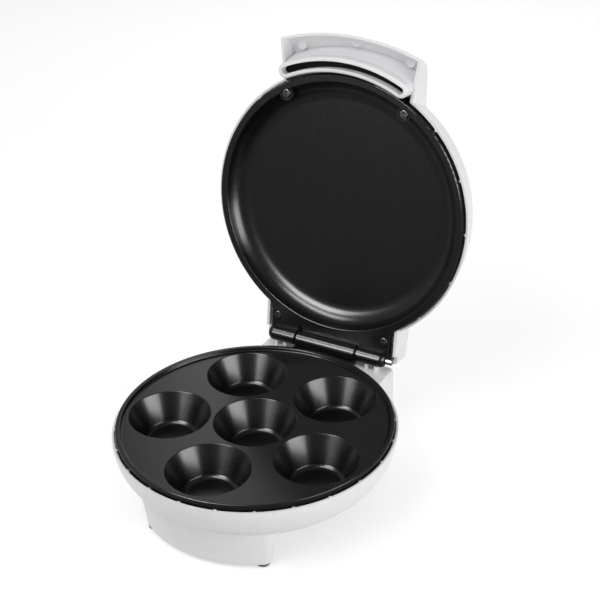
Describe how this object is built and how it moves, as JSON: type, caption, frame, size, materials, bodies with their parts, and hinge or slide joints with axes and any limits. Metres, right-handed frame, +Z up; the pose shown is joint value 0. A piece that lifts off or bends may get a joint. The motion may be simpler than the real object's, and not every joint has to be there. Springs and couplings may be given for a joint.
{
  "type": "cupcake maker",
  "caption": "Countertop cupcake maker with a round bowl-shaped base, a cast plate of round cups, and a domed lid with a dished plate and hooded handle on a rear hinge, shown open.",
  "frame": {"origin": "on the surface that the feet stand on, at the middle of the open object seen from above", "axes": "+Z up, -Y towards the handle side of the closed lid (the front), +Y towards the hinge and the cord inlet, +X to the right seen from the front"},
  "size_m": [0.2162, 0.29, 0.312],
  "materials": {
    "white_housing": "satin gloss moulding",
    "nonstick_plate": "black non-stick coating on die-cast aluminium",
    "grey_rubber": "matte",
    "dark_screw": "blackened steel",
    "zinc_screw": "zinc plated",
    "pin_steel": "dark turned steel",
    "heater_steel": "oxidised sheath",
    "shield_metal": "rolled",
    "control_metal": "satin",
    "fuse_sleeve": "woven glass sleeve",
    "lead_insulation": "silicone",
    "terminal_plastic": "matte",
    "gland_plastic": "matte",
    "red_lens": "clear",
    "green_lens": "clear"
  },
  "bodies": {
    "base": {"base_shell": "white_housing", "bottom_cover": "white_housing", "post_cover": "white_housing", "cup_plate": "nonstick_plate", "lower_heating_element": "heater_steel", "lower_heat_shield": "shield_metal", "lower_thermostat": "control_metal", "lower_thermal_fuse": "fuse_sleeve", "lower_leads": "lead_insulation", "terminal_block": "terminal_plastic", "cup_plate_screws": "zinc_screw", "bottom_cover_screws": "zinc_screw", "post_cover_screws": "zinc_screw", "rubber_feet": "grey_rubber", "hinge_pin": "pin_steel", "cord_gland": "gland_plastic"},
    "lid": {"lid_shell": "white_housing", "handle_liner": "white_housing", "lid_plate": "nonstick_plate", "lid_plate_screws": "dark_screw", "upper_heating_element": "heater_steel", "upper_heat_shield": "shield_metal", "upper_shield_screws": "zinc_screw", "upper_thermal_fuse": "fuse_sleeve", "upper_leads": "lead_insulation", "power_lamp_lens": "red_lens", "ready_lamp_lens": "green_lens", "lamp_holder": "terminal_plastic"}
  },
  "joints": [
    {"name": "lid_hinge", "type": "hinge", "parent": "base", "child": "lid", "pos_m": [0, 0.07664, 0.0662], "axis": [1, 0, 0], "range_deg": [0, 99.25]}
  ]
}
